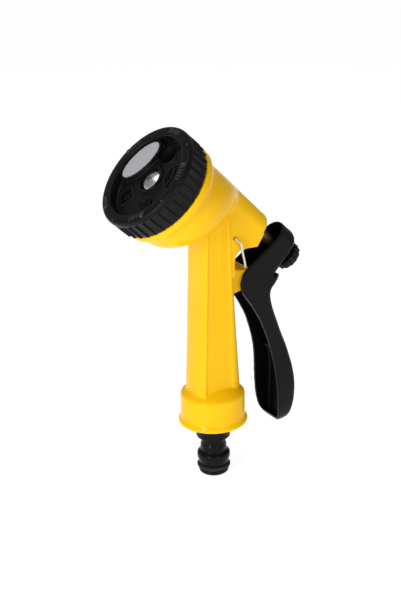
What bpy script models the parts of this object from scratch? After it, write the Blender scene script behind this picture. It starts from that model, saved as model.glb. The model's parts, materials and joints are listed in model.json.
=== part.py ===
"""Hose spray nozzle with a rear lever: a yellow cast body, a five-pattern dial and a hose plug.

Millimetres in the named values below, metres in the finished meshes, +Z up, spray towards -Y.
The origin is the centre of the hose plug's end face, and X = 0 is the mirror plane.
"""
import math

import bmesh
import bpy
from mathutils import Vector

MM = 0.001
GAP = 0.3                                  # air between pieces that touch or slide

# Barrel: a line tilted up from the horizontal, which the dial and the valve share.
BARREL_TILT = 43.35
DIAL_CENTRE = (0.0, -33.97, 161.8)         # centre of the dial's front rim
VALVE_HEIGHT = 14.6                        # valve axis above the dial's axis, and the ports' circle
PORT_STEP = 72.0                           # five patterns

# Dial
DIAL_RADIUS = 26.6
DIAL_DEPTH = 12.9
RIM_INNER_RADIUS = 21.3
FACE_DEPTH = 4.8
FLOOR_BACK = 9.2
PLATE_RADIUS = 24.2
PLATE_FRONT = FLOOR_BACK + GAP
PLATE_BACK = 11.6
GRIP_RIBS = 36
RIB_HEIGHT = 0.7
RIB_SHARES = (-0.34, 0.34, 0.5)            # two outer points and the groove, as shares of a rib's step
HUB_BORE = 4.3
SCREEN_DEPTH = 1.6                         # how far the shower screen lies behind the rim
SCREEN_ANGLE = 154.0                       # the screen's middle, round from the dial's left-to-right line
SCREEN_DISTANCE = 13.8
SCREEN_HALF_LENGTH = 11.6
SCREEN_HALF_WIDTH = 6.4
SCREEN_RIM = 1.2

# Cast body
BODY_FRONT = DIAL_DEPTH + GAP + 0.1
FLANGE_RADIUS = 25.9
BELL_WALL = 2.6
BOWL_START = 22.0                          # depth where the bell starts to close
BOWL_LENGTH = 21.8
BOWL_DROP = 29.0
HOUSING_LOW = 6.0
HOUSING_REAR = 70.2
COLUMN_HALF_WIDTH = 8.6
COLLAR_RADIUS = 16.05
LIP_RADIUS = 17.3
LIP_BOTTOM = 29.2
THREAD_BORE = 13.5
WASHER_SEAT = 41.3
WATERWAY_RADIUS = 5.0
CHAMBER_RADIUS = 6.2
SEAT_DEPTH = 26.0

# Lever and the wire bail
PIVOT = (0.0, 20.3, 101.3)
PIN_RADIUS = 1.5
LUG_HALF_WIDTH = 5.3
DETENT_RADIUS = 20.4
LEVER_WALL = 1.8
BAIL_PIVOT = (0.0, 8.8, 125.4)
WIRE_RADIUS = 0.55

# Valve stem, measured as depth behind the dial's rim
STEM_RADIUS = 2.5
THREAD_RADIUS = 2.0
KNOB_RADIUS = 7.25
KNOB_FRONT = 92.5
KNOB_BACK = 97.8
STEM_END = KNOB_BACK - 2.2


def clear_scene():
    for old in list(bpy.data.objects):
        bpy.data.objects.remove(old, do_unlink=True)


def material(name, colour, roughness, metallic=0.0):
    made = bpy.data.materials.new(name)
    made.use_nodes = True
    shader = made.node_tree.nodes["Principled BSDF"]
    shader.inputs["Base Color"].default_value = (*colour, 1.0)
    shader.inputs["Roughness"].default_value = roughness
    shader.inputs["Metallic"].default_value = metallic
    return made


def frame_point(name, location, tilt=0.0, parent=None):
    """An empty on a joint's axis; its children are drawn around it."""
    empty = bpy.data.objects.new(name, None)
    empty.location = Vector(location) * MM
    empty.rotation_euler = (math.radians(tilt), 0.0, 0.0)
    empty.parent = parent
    bpy.context.scene.collection.objects.link(empty)
    return empty


def add_solid(name, points, faces, finish, parent=None, sharp=35.0):
    """Make an object from points in millimetres, with its faces turned outwards."""
    mesh = bpy.data.meshes.new(name)
    mesh.from_pydata([Vector(point) * MM for point in points], [], faces)
    edit = bmesh.new()
    edit.from_mesh(mesh)
    bmesh.ops.recalc_face_normals(edit, faces=edit.faces)
    edit.to_mesh(mesh)
    edit.free()
    mesh.shade_smooth()
    mesh.set_sharp_from_angle(angle=math.radians(sharp))
    solid = bpy.data.objects.new(name, mesh)
    solid.parent = parent
    if finish:
        mesh.materials.append(finish)
    bpy.context.scene.collection.objects.link(solid)
    return solid


def lofted(name, rings, finish, parent=None, looped=False):
    """Skin a row of rings that all have the same number of points."""
    count = len(rings[0])
    points = [point for ring in rings for point in ring]
    faces = []
    spans = len(rings) if looped else len(rings) - 1
    for row in range(spans):
        here = row * count
        there = (row + 1) % len(rings) * count
        for index in range(count):
            after = (index + 1) % count
            faces.append((here + index, here + after, there + after, there + index))
    if not looped:
        faces.append(tuple(range(count)))
        faces.append(tuple(range(len(points) - count, len(points))))
    return add_solid(name, points, faces, finish, parent)


def circle(radius, along, count, centre=(0.0, 0.0)):
    turn = 2 * math.pi / count
    return [(centre[0] + radius * math.cos(turn * k), centre[1] + radius * math.sin(turn * k), along)
            for k in range(count)]


def turned(name, profile, finish, parent=None, count=32, centre=(0.0, 0.0)):
    """Turn a profile of (radius, height) about local Z: a ring when it never meets the axis."""
    open_ended = profile[0][0] == 0 or profile[-1][0] == 0
    rings = [circle(max(radius, 0.001), height, count, centre) for radius, height in profile if radius > 0]
    return lofted(name, rings, finish, parent, looped=not open_ended)


def behind(profile):
    """Profiles on the barrel give depth behind the rim, which is downwards along local Z."""
    return [(radius, -depth) for radius, depth in profile]


def rod(name, radius, front, back, finish, parent, count=24, centre=(0.0, 0.0)):
    profile = [(0, front), (radius, front), (radius, back), (0, back)]
    return turned(name, behind(profile), finish, parent, count, centre)


def tube(name, outer, inner, front, back, finish, parent, count=24):
    profile = [(outer, front), (outer, back), (inner, back), (inner, front)]
    return turned(name, behind(profile), finish, parent, count)


def prism(name, outline, half_width, finish, parent=None):
    """A plate with its outline in (y, z); half_width may depend on y."""
    width = half_width if callable(half_width) else (lambda y: half_width)
    rings = [[(side * width(y), y, z) for y, z in outline] for side in (-1, 1)]
    return lofted(name, rings, finish, parent)


def upright(name, outline, front, back, finish, parent):
    """A block on the dial: outline in (x, height), from one depth to another."""
    rings = [[(x, y, -depth) for x, y in outline] for depth in (front, back)]
    return lofted(name, rings, finish, parent)


def arc(centre, radius, start, end, steps):
    """Points on a circle in (y, z), angles in degrees from +y towards +z."""
    angles = [math.radians(start + (end - start) * k / steps) for k in range(steps + 1)]
    return [(centre[0] + radius * math.cos(a), centre[1] + radius * math.sin(a)) for a in angles]


def combine(solid, tool, operation):
    """Add or cut a helper shape at once, so that each Boolean is worked out on its own."""
    step = solid.modifiers.new(tool.name, "BOOLEAN")
    step.operation = operation
    step.solver = "EXACT"
    step.object = tool
    bpy.context.view_layer.update()
    shaped = solid.evaluated_get(bpy.context.evaluated_depsgraph_get())
    mesh = bpy.data.meshes.new_from_object(shaped)
    solid.modifiers.remove(step)
    solid.data = mesh
    mesh.name = solid.name
    bpy.data.objects.remove(tool, do_unlink=True)


def join(solid, tool):
    combine(solid, tool, "UNION")


def cut(solid, tool):
    combine(solid, tool, "DIFFERENCE")


def coil(name, radius, wire, start, end, turns, finish, parent, steps=12, sides=6):
    """A compression spring along the barrel direction, with cut ends."""
    rings = []
    for k in range(turns * steps + 1):
        angle = 2 * math.pi * k / steps
        depth = start + (end - start) * k / (turns * steps)
        ring = []
        for side in range(sides):
            around = 2 * math.pi * side / sides
            reach = radius + wire * math.cos(around)
            ring.append((reach * math.cos(angle), reach * math.sin(angle), -depth + wire * math.sin(around)))
        rings.append(ring)
    return lofted(name, rings, finish, parent)


# ---------------------------------------------------------------- cast body

def bell_stations():
    """(depth, height of the centre, radius): the flange, the bowl and the valve housing."""
    stations = [(BODY_FRONT, 0.0, FLANGE_RADIUS - 0.5), (BODY_FRONT + 0.6, 0.0, FLANGE_RADIUS),
                (17.2, 0.0, FLANGE_RADIUS), (18.2, 0.1, 24.4), (20.0, 0.2, 23.6)]
    steps = 7
    for k in range(steps + 1):
        angle = 0.5 * math.pi * k / steps
        depth = BOWL_START + BOWL_LENGTH * math.sin(angle)
        low = HOUSING_LOW - BOWL_DROP * math.cos(angle)
        high = 23.5 - 0.012 * (depth - BOWL_START)
        stations.append((depth, 0.5 * (low + high), 0.5 * (high - low)))
    rear = [(58.0, 8.2), (HOUSING_REAR - 3.0, 7.9), (HOUSING_REAR - 0.9, 7.0), (HOUSING_REAR, 5.6)]
    return stations + [(depth, VALVE_HEIGHT, radius) for depth, radius in rear]


def column_ring(z, arc_steps=5):
    """Flat sides, a shallow front and a rounder back, all growing towards the collar."""
    down = (122.0 - z) / 77.0
    front, front_bulge = -6.6 - 2.6 * down, 1.2 + 2.2 * down
    back, back_bulge = 5.6 + 1.3 * down, 3.0 + 4.6 * down
    ring = []
    for k in range(arc_steps + 1):
        angle = math.pi * k / arc_steps
        ring.append((COLUMN_HALF_WIDTH * math.cos(angle), back + back_bulge * math.sin(angle), z))
    for k in range(arc_steps + 1):
        angle = math.pi + math.pi * k / arc_steps
        ring.append((COLUMN_HALF_WIDTH * math.cos(angle), front + front_bulge * math.sin(angle), z))
    return ring


def collar_profile():
    return [(0, LIP_BOTTOM), (LIP_RADIUS, LIP_BOTTOM), (LIP_RADIUS, 31.6), (COLLAR_RADIUS, 32.4),
            (COLLAR_RADIUS, 43.2), (15.3, 45.0), (13.4, 46.4), (10.4, 48.0), (6.5, 49.2), (0, 49.6)]


def web_outline():
    """Side view of the gusset that carries the housing: a tight curve under a level edge."""
    curve = arc((14.2, 113.8), 5.0, 180, 90, 4)
    return [(0.0, 108.0), (9.2, 108.0)] + curve + [(22.4, 118.3), (26.4, 124.0), (5.2, 144.0), (0.0, 144.0)]


def lug_outline():
    nose = arc(PIVOT[1:], 4.8, -100, 78, 8)
    return [(3.0, 94.4), (14.3, 96.7)] + nose + [(3.0, 109.7)]


def make_body(yellow, barrel, valve):
    stations = bell_stations()
    rings = [circle(radius, -depth, 40, (0.0, height)) for depth, height, radius in stations]
    body = lofted("body_shell", rings, yellow, barrel)
    join(body, lofted("column_form", [column_ring(z) for z in (38, 60, 82, 104, 122, 141)], yellow))
    join(body, prism("web_form", web_outline(), lambda y: 8.6 - 0.04 * (y - 5.0), yellow))
    join(body, turned("collar_form", collar_profile(), yellow, count=36))
    join(body, prism("lug_form", lug_outline(), LUG_HALF_WIDTH, yellow))
    hollow_body(body, barrel, valve)
    return body


def hollow_body(body, barrel, valve):
    """Empty the bell, then stand the port tube, the spigot and the detent boss in it."""
    floor = 29.0
    cavity = [(radius - BELL_WALL, -depth, height) for depth, height, radius in bell_stations()
              if BODY_FRONT + 0.5 < depth < floor]
    rings = [circle(23.0, -10.0, 32)] + [circle(r, d, 32, (0.0, h)) for r, d, h in cavity]
    cut(body, lofted("bell_cavity", rings, None, barrel))
    join(body, rod("port_tube_form", 7.6, 12.8, 33.0, None, valve, 32))
    join(body, rod("spigot_form", 3.9, 6.0, 16.0, None, barrel, 28))
    join(body, rod("spigot_root_form", 5.6, 13.4, 33.0, None, barrel, 28))
    detent = (0.0, -DETENT_RADIUS)
    join(body, rod("detent_boss_form", 2.2, 13.4, 24.0, None, barrel, 20, detent))
    join(body, prism("boss_rib_form", [(-4.5, -33.0), (-17.0, -33.0), (-19.0, -18.0), (-4.5, -18.0)],
                     1.2, None, barrel))
    cut(body, rod("screw_hole", 1.8, 0.0, 29.0, None, barrel, 20))
    cut(body, rod("detent_hole", 1.35, 8.0, 22.5, None, barrel, 20, detent))
    cut(body, rod("port_pocket", 4.6, 8.0, 21.5, None, valve, 28))
    cut(body, rod("port_bore", 3.4, 15.0, 27.0, None, valve, 28))
    cut(body, rod("valve_chamber", CHAMBER_RADIUS, SEAT_DEPTH, 80.0, None, valve, 32))
    riser = [(0, WASHER_SEAT - 2), (WATERWAY_RADIUS, WASHER_SEAT - 2), (WATERWAY_RADIUS, 146), (0, 146)]
    cut(body, turned("waterway", riser, None, count=24))
    socket = [(0, 20), (THREAD_BORE, 20), (THREAD_BORE, WASHER_SEAT), (0, WASHER_SEAT)]
    cut(body, turned("thread_socket", socket, None, count=32))
    pin_hole = arc(PIVOT[1:], PIN_RADIUS + 0.25, 0, 342, 19)
    cut(body, prism("pin_hole", pin_hole, 12.0, None))
    bail_hole = arc(BAIL_PIVOT[1:], WIRE_RADIUS + 0.35, 0, 330, 11)
    for side, label in ((-1, "far"), (1, "near")):
        hole = prism("bail_hole_" + label, bail_hole, 1.8, None)
        hole.location.x = side * 8.2 * MM
        cut(body, hole)


# ---------------------------------------------------------------- inlet

def make_inlet(black, rubber):
    bore = 4.7
    profile = [(bore, 0), (7.0, 0), (7.6, 0.7), (7.6, 2.3), (6.7, 2.3), (6.7, 5.3), (7.6, 5.3), (7.6, 7.8),
               (8.4, 8.3), (8.4, 11.2), (6.65, 12.3), (6.65, 16.0), (6.0, 16.4), (6.0, 19.9), (8.7, 20.2),
               (8.7, 30.6), (13.0, 30.6), (13.0, 38.2), (bore, 38.2)]
    turned("hose_plug", profile, black, count=28)
    ring = [(7.0, 3.0), (7.8, 2.6), (8.5, 3.2), (8.5, 4.4), (7.8, 5.0), (7.0, 4.6)]
    turned("plug_o_ring", ring, rubber, count=28)
    turned("inlet_washer", [(5.6, 38.5), (12.9, 38.5), (12.9, 41.0), (5.6, 41.0)], rubber, count=28)


# ---------------------------------------------------------------- dial

def port_place(index):
    """Centre of a port on the dial's face in (x, height); port 0 is the one in use, at the top."""
    angle = math.radians(90.0 - PORT_STEP * index)
    return VALVE_HEIGHT * math.cos(angle), VALVE_HEIGHT * math.sin(angle)


def ribbed_ring(radius, depth):
    """The grip: each rib has two outer points, with the root of a groove after them."""
    ring = []
    step = 2 * math.pi / GRIP_RIBS
    for rib in range(GRIP_RIBS):
        for share in RIB_SHARES:
            angle = step * (rib + share)
            reach = radius - (RIB_HEIGHT if share == RIB_SHARES[-1] else 0.0)
            ring.append((reach * math.cos(angle), reach * math.sin(angle), -depth))
    return ring


def plain_ring(radius, depth):
    """A round ring whose points stand at the same angles as the ribs'."""
    step = 2 * math.pi / GRIP_RIBS
    angles = [step * (rib + share) for rib in range(GRIP_RIBS) for share in RIB_SHARES]
    return [(radius * math.cos(a), radius * math.sin(a), -depth) for a in angles]


def oval(index, half_length, half_width, count=24, power=2.1):
    """An oval at a port, its long side across the dial's radius; the screen's leans away from its port."""
    x, y = port_place(index)
    if index == SHOWER:
        angle = math.radians(SCREEN_ANGLE)
        x, y = SCREEN_DISTANCE * math.cos(angle), SCREEN_DISTANCE * math.sin(angle)
    turn = math.atan2(y, x)
    outline = []
    for k in range(count):
        angle = 2 * math.pi * k / count
        c, s = math.cos(angle), math.sin(angle)
        across = half_width * math.copysign(abs(c) ** (2 / power), c)
        along = half_length * math.copysign(abs(s) ** (2 / power), s)
        outline.append((x + across * math.cos(turn) - along * math.sin(turn),
                        y + across * math.sin(turn) + along * math.cos(turn)))
    return outline


FULL, FAN, JET, MIST, SHOWER = range(5)


def make_dial(black, steel, rubber, barrel):
    rings = [plain_ring(RIM_INNER_RADIUS, FACE_DEPTH), plain_ring(RIM_INNER_RADIUS, 0.0),
             plain_ring(DIAL_RADIUS - 1.0, 0.0), ribbed_ring(DIAL_RADIUS, 0.8),
             ribbed_ring(DIAL_RADIUS, DIAL_DEPTH), plain_ring(24.6, DIAL_DEPTH), plain_ring(24.6, FLOOR_BACK)]
    housing = lofted("dial_housing", rings, black, barrel)
    cut_ports(housing, barrel)
    plate = rod("dial_back_plate", PLATE_RADIUS, PLATE_FRONT, PLATE_BACK, black, barrel, 44)
    cut(plate, rod("plate_hub_hole", HUB_BORE, 5.0, 15.0, None, barrel, 28))
    for index in range(5):
        cut(plate, rod("plate_port_%d" % index, 2.9, 5.0, 15.0, None, barrel, 18, port_place(index)))
    cut(plate, tube("ball_track", DETENT_RADIUS + 1.15, DETENT_RADIUS - 1.15, 10.8, 15.0, None, barrel, 44))
    for index in range(5):
        angle = math.radians(-90.0 - PORT_STEP * index)
        place = (DETENT_RADIUS * math.cos(angle), DETENT_RADIUS * math.sin(angle))
        cut(plate, rod("plate_pocket_%d" % index, 0.9, 10.5, 15.0, None, barrel, 14, place))
    make_inserts(black, steel, rubber, barrel)


def cut_ports(housing, barrel):
    """Bosses stand on the dial's face, and a chamber runs back from each."""
    back = FLOOR_BACK + 1.0
    join(housing, rod("hub_form", 7.4, 3.6, 8.0, None, barrel, 32))
    boss = oval(SHOWER, SCREEN_HALF_LENGTH + SCREEN_RIM, SCREEN_HALF_WIDTH + SCREEN_RIM)
    join(housing, upright("shower_boss", boss, 1.1, 6.0, None, barrel))
    join(housing, upright("fan_boss", oval(FAN, 6.2, 3.4, 20, 2.0), 2.2, 6.0, None, barrel))
    join(housing, rod("jet_boss", 4.0, 2.6, 6.0, None, barrel, 24, port_place(JET)))
    cut(housing, rod("hub_well", 6.0, 0.0, 6.4, None, barrel, 28))
    cut(housing, rod("hub_bore", HUB_BORE, 0.0, back, None, barrel, 28))
    cut(housing, rod("full_chamber", 5.2, 0.0, back, None, barrel, 28, port_place(FULL)))
    cut(housing, rod("jet_chamber", 2.6, 0.0, back, None, barrel, 20, port_place(JET)))
    rebate = oval(SHOWER, SCREEN_HALF_LENGTH + 0.1, SCREEN_HALF_WIDTH + 0.1)
    cut(housing, upright("screen_rebate", rebate, 0.0, 3.0, None, barrel))
    chamber = oval(SHOWER, SCREEN_HALF_LENGTH - 1.4, SCREEN_HALF_WIDTH - 1.4)
    cut(housing, upright("shower_chamber", chamber, 2.0, back, None, barrel))
    cut(housing, upright("fan_chamber", oval(FAN, 4.4, 2.2, 20, 2.0), 0.0, back, None, barrel))
    cut(housing, upright("mist_chamber", oval(MIST, 3.1, 3.1, 24, 6.0), 0.0, back, None, barrel))


def make_inserts(black, steel, rubber, barrel):
    screen = oval(SHOWER, SCREEN_HALF_LENGTH - 0.2, SCREEN_HALF_WIDTH - 0.2)
    upright("shower_screen", screen, SCREEN_DEPTH, SCREEN_DEPTH + 0.5, steel, barrel)
    outer = oval(SHOWER, SCREEN_HALF_LENGTH - 0.4, SCREEN_HALF_WIDTH - 0.4)
    gasket = upright("screen_gasket", outer, 2.25, 2.85, rubber, barrel)
    inner = oval(SHOWER, SCREEN_HALF_LENGTH - 1.6, SCREEN_HALF_WIDTH - 1.6)
    cut(gasket, upright("gasket_opening", inner, 1.0, 4.0, None, barrel))

    jet = rod("jet_nozzle", 2.3, 2.3, 8.9, black, barrel, 20, port_place(JET))
    cut(jet, rod("jet_bore", 0.8, 0.0, 12.0, None, barrel, 12, port_place(JET)))

    fan = upright("fan_nozzle", oval(FAN, 4.1, 1.9, 20, 2.0), 1.9, 8.9, black, barrel)
    cut(fan, upright("fan_slit", oval(FAN, 3.0, 0.45, 16, 4.0), 0.0, 12.0, None, barrel))

    mist = upright("mist_swirler", oval(MIST, 2.8, 2.8, 24, 6.0), 4.3, 8.9, black, barrel)
    x, y = port_place(MIST)
    for index, (side, rise) in enumerate(((-1, 0), (1, 0), (0, -1), (0, 1))):
        place = (x + 1.5 * side, y + 1.5 * rise)
        cut(mist, rod("swirl_hole_%d" % index, 0.6, 0.0, 12.0, None, barrel, 10, place))

    sleeve = rod("full_flow_sleeve", 4.9, 5.1, 8.9, black, barrel, 28, port_place(FULL))
    cut(sleeve, rod("full_flow_bore", 3.7, 0.0, 12.0, None, barrel, 24, port_place(FULL)))


def make_dial_fixing(steel, brass, rubber, barrel, valve):
    """What holds, seals and indexes the dial; all of it stays with the body."""
    dome = [(0, 3.3), (2.6, 3.5), (4.3, 4.1), (5.2, 5.1), (1.5, 5.1), (1.5, 27.5), (0, 27.5)]
    screw = turned("dial_screw", behind(dome), steel, barrel, 28)
    for index, quarter in enumerate((0, 90)):
        slot = prism("screw_slot_%d" % index, [(-2.6, -4.6), (2.6, -4.6), (2.6, 0.0), (-2.6, 0.0)], 0.5,
                     None, barrel)
        slot.rotation_euler = (0.0, 0.0, math.radians(quarter))
        cut(screw, slot)
    tube("screw_washer", 5.6, 1.8, 5.35, 5.75, steel, barrel)
    tube("dial_friction_ring", 6.4, 4.6, 11.9, 13.1, rubber, barrel)
    tube("port_seal", 4.4, 2.9, 11.9, 17.4, rubber, valve)
    coil("port_seal_spring", 3.85, 0.35, 18.1, 20.9, 2, steel, valve, 10, 4)
    ball = [(0, 10.9)] + [(1.2 * math.sin(math.radians(a)), 12.1 - 1.2 * math.cos(math.radians(a)))
                          for a in range(30, 180, 30)] + [(0, 13.3)]
    turned("detent_ball", behind(ball), steel, barrel, 12, (0.0, -DETENT_RADIUS))
    spring = coil("detent_spring", 0.85, 0.25, 13.9, 21.9, 4, steel, barrel, 8, 4)
    spring.location.y = -DETENT_RADIUS * MM
    tube("valve_seat", 5.9, 3.6, SEAT_DEPTH + GAP, 29.0, brass, valve)


# ---------------------------------------------------------------- valve

def hex_nut(name, corner_radius, bore, front, back, finish, parent):
    nut = rod(name, corner_radius, front, back, finish, parent, 6)
    cut(nut, rod(name + "_bore", bore, front - 2.0, back + 2.0, None, parent, 20))


def make_valve(brass, rubber, steel, valve):
    stem = [(0, 27.2), (1.5, 27.2), (1.5, 32.2), (4.4, 32.2), (4.4, 33.6), (STEM_RADIUS, 33.6),
            (STEM_RADIUS, 60.8), (2.0, 60.8), (2.0, 62.6), (STEM_RADIUS, 62.6), (STEM_RADIUS, 80.0),
            (THREAD_RADIUS, 80.6), (THREAD_RADIUS, STEM_END), (0, STEM_END)]
    turned("valve_stem", behind(stem), brass, valve, 20)
    tube("valve_washer", 5.2, 1.8, 29.3, 31.9, rubber, valve)
    hex_nut("washer_nut", 3.1, 1.8, 27.5, 29.0, brass, valve)
    coil("valve_spring", 4.3, 0.5, 34.6, 56.6, 6, steel, valve, 10, 5)
    tube("packing_washer", 5.8, 2.8, 57.6, 58.4, brass, valve)
    tube("stem_packing", 4.2, 2.8, 59.0, 60.5, rubber, valve)
    tube("stem_o_ring", 3.4, 2.3, 60.9, 62.5, rubber, valve)
    nut = [(5.9, 58.7), (5.9, 68.8), (2.8, 68.8), (2.8, 67.0), (3.8, 67.0), (3.8, 60.8), (4.5, 60.8),
           (4.5, 58.7)]
    turned("gland_nut", behind(nut), brass, valve, 24)
    tube("thrust_washer", 4.2, 2.3, KNOB_FRONT - 1.5, KNOB_FRONT - 0.3, steel, valve)


def make_knob(black, brass, valve):
    flutes, per_flute = 12, 4

    def fluted(radius, depth):
        ring = []
        for k in range(flutes * per_flute):
            angle = 2 * math.pi * k / (flutes * per_flute)
            dip = 0.55 * (0.5 - 0.5 * math.cos(angle * flutes))
            reach = radius - dip
            ring.append((reach * math.cos(angle), reach * math.sin(angle), -depth))
        return ring

    rings = [fluted(KNOB_RADIUS - 0.7, KNOB_FRONT), fluted(KNOB_RADIUS, KNOB_FRONT + 0.8),
             fluted(KNOB_RADIUS, KNOB_BACK - 2.0), fluted(6.5, KNOB_BACK - 0.9), fluted(5.2, KNOB_BACK - 0.2),
             fluted(3.0, KNOB_BACK)]
    knob = lofted("flow_knob", rings, black, valve)
    cut(knob, rod("knob_socket", 3.6, 90.0, STEM_END + 0.4, None, valve, 6))
    hex_nut("knob_insert", 3.25, 2.3, KNOB_FRONT + 0.2, STEM_END + 0.2, brass, valve)


# ---------------------------------------------------------------- lever and bail

def barrel_point(depth, height):
    """(y, z) of a point given by its depth behind the rim and its height above the dial's axis."""
    tilt = math.radians(BARREL_TILT)
    y = DIAL_CENTRE[1] + depth * math.cos(tilt) + height * math.sin(tilt)
    z = DIAL_CENTRE[2] - depth * math.sin(tilt) + height * math.cos(tilt)
    return y, z


def lever_stations():
    """(front edge, back, half width) from the tip of the grip up to the hood."""
    grip = [((38.4, 19.4), (39.6, 19.6), 3.0), ((36.6, 20.8), (41.0, 21.0), 6.6),
            ((34.8, 24.0), (42.8, 24.4), 9.8), ((33.6, 29.6), (43.8, 30.4), 11.6),
            ((32.8, 36.6), (44.3, 37.2), 12.2), ((32.2, 43.2), (44.2, 43.6), 12.0),
            ((31.7, 50.0), (43.2, 50.4), 11.2), ((30.9, 56.6), (41.6, 57.0), 10.2),
            ((29.6, 63.2), (39.6, 63.6), 9.4), ((27.6, 70.0), (37.0, 70.2), 8.9),
            ((24.8, 77.8), (34.5, 77.4), 8.5), ((22.0, 83.2), (32.6, 83.0), 8.3),
            ((19.0, 88.4), (31.4, 87.8), 8.1), ((16.2, 92.4), (31.0, 91.6), 8.0),
            ((14.3, 95.6), (31.7, 94.4), 7.9), ((13.3, 99.4), (33.8, 96.6), 7.8),
            ((13.9, 102.8), (35.6, 98.8), 7.7), ((15.2, 105.6), (36.2, 101.0), 7.6)]
    hood = []
    for height, back in ((-3.6, 91.2), (2.0, 90.6), (7.0, 90.5), (12.0, 90.7), (17.0, 90.7)):
        hood.append((barrel_point(74.4 + 0.22 * (height + 4.0), height), barrel_point(back, height), 7.5))
    for angle in (25, 50, 70, 82):
        turn = math.radians(angle)
        height = 17.6 + 7.5 * math.sin(turn)
        back = 90.7 - 3.0 * (1.0 - math.cos(turn))
        hood.append((barrel_point(79.2 + 0.06 * angle / 10, height), barrel_point(back, height),
                     7.5 * math.cos(turn)))
    return grip + hood


def channel_ring(front, back, half_width, corner, corner_steps=3):
    """A U-shaped section in the plane through its front edge and its back, closed across the front."""
    run = Vector((back[0] - front[0], back[1] - front[1]))
    length = run.length
    run.normalize()
    corner = min(corner, half_width * 0.9, length * 0.9)
    side = [(half_width, 0.0)]
    for k in range(corner_steps + 1):
        angle = 0.5 * math.pi * k / corner_steps
        side.append((half_width - corner + corner * math.cos(angle), length - corner + corner * math.sin(angle)))
    flat = side + [(-x, deep) for x, deep in reversed(side)]
    return [(x, front[0] + run.x * deep, front[1] + run.y * deep) for x, deep in flat]


def lever_inside():
    """The channel cut: the same stations brought in by one wall, and open past the front edge."""
    rings = []
    for front, back, half_width in lever_stations()[3:-2]:
        run = (Vector(back) - Vector(front)).normalized()
        opening = Vector(front) - run * 3.0
        floor = Vector(back) - run * LEVER_WALL
        rings.append(channel_ring(opening, floor, half_width - LEVER_WALL, 2.6))
    return rings


def make_lever(black, lever_axis, valve):
    rings = [[(x, y - PIVOT[1], z - PIVOT[2]) for x, y, z in channel_ring(front, back, width, 4.2)]
             for front, back, width in lever_stations()]
    lever = lofted("lever", rings, black, lever_axis)
    cut(lever, lofted("lever_channel", lever_inside(), None))
    cut(lever, prism("lever_pin_hole", arc(PIVOT[1:], PIN_RADIUS + 0.25, 0, 342, 19), 7.15, None))
    slot = [(x, y) for x, y in ((-2.5, -2.5), (2.5, -2.5), (2.5, 4.8), (-2.5, 4.8))]
    cut(lever, upright("stem_slot", slot, 86.0, 96.0, None, valve))


def wire_along(name, route, radius, finish, parent, sides=8):
    """A round wire through a list of points, mitred at each bend."""
    points = [Vector(point) for point in route]
    rings = []
    normal = Vector((0.0, 1.0, 0.3)).normalized()
    for index, point in enumerate(points):
        before = points[max(index - 1, 0)]
        after = points[min(index + 1, len(points) - 1)]
        along = (after - before).normalized()
        normal = (normal - along * normal.dot(along)).normalized()
        other = along.cross(normal)
        rings.append([tuple(point + radius * (normal * math.cos(a) + other * math.sin(a)))
                      for a in [2 * math.pi * side / sides for side in range(sides)]])
    return lofted(name, rings, finish, parent)


def bail_route():
    """Half of the bail from its hooked end to the middle of the crossbar, about its own pivot."""
    half = [(7.2, 0.0, 0.0), (9.4, 0.0, 0.0), (9.9, 0.3, -0.4), (10.1, 1.0, -1.2), (10.1, 2.2, -2.4),
            (10.1, 2.5, -3.6), (10.1, 4.7, -14.2), (9.9, 4.8, -14.9), (9.3, 4.9, -15.2), (8.6, 4.9, -15.2)]
    return half + [(-x, y, z) for x, y, z in reversed(half)]


def make_lever_group(black, steel, lever_axis, bail_axis, valve):
    make_lever(black, lever_axis, valve)
    prism("pivot_pin", arc((0.0, 0.0), PIN_RADIUS, 0, 342, 19), 6.8, steel, lever_axis)
    wire_along("wire_bail", bail_route(), WIRE_RADIUS, steel, bail_axis)


def build():
    clear_scene()
    yellow = material("yellow_enamel", (0.95, 0.56, 0.01), 0.25)
    black = material("black_plastic", (0.015, 0.015, 0.016), 0.45)
    rubber = material("black_rubber", (0.02, 0.02, 0.02), 0.8)
    steel = material("bright_steel", (0.62, 0.62, 0.6), 0.28, 1.0)
    brass = material("brass", (0.72, 0.52, 0.24), 0.35, 1.0)

    barrel = frame_point("barrel_axis", DIAL_CENTRE, 90.0 - BARREL_TILT)
    valve = frame_point("valve_axis", (0.0, VALVE_HEIGHT, 0.0), 0.0, barrel)
    lever_axis = frame_point("lever_axis", PIVOT)
    bail_axis = frame_point("bail_axis", BAIL_PIVOT)

    make_body(yellow, barrel, valve)
    make_inlet(black, rubber)
    make_dial(black, steel, rubber, barrel)
    make_dial_fixing(steel, brass, rubber, barrel, valve)
    make_valve(brass, rubber, steel, valve)
    make_knob(black, brass, valve)
    make_lever_group(black, steel, lever_axis, bail_axis, valve)


build()
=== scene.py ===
# %% [markdown]
# # A hose spray nozzle, piece by piece
#
# The nozzle is a yellow moulded body with a black ribbed dial, a black rear lever, a flow knob,
# a wire bail and a click-on hose plug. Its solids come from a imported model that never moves. This
# file builds the surfaces that are seen around that model, and gives each its finish.

# %% Load the fixed frame
import json
import math

import bmesh
import bpy
from mathutils import Matrix, Vector

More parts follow.
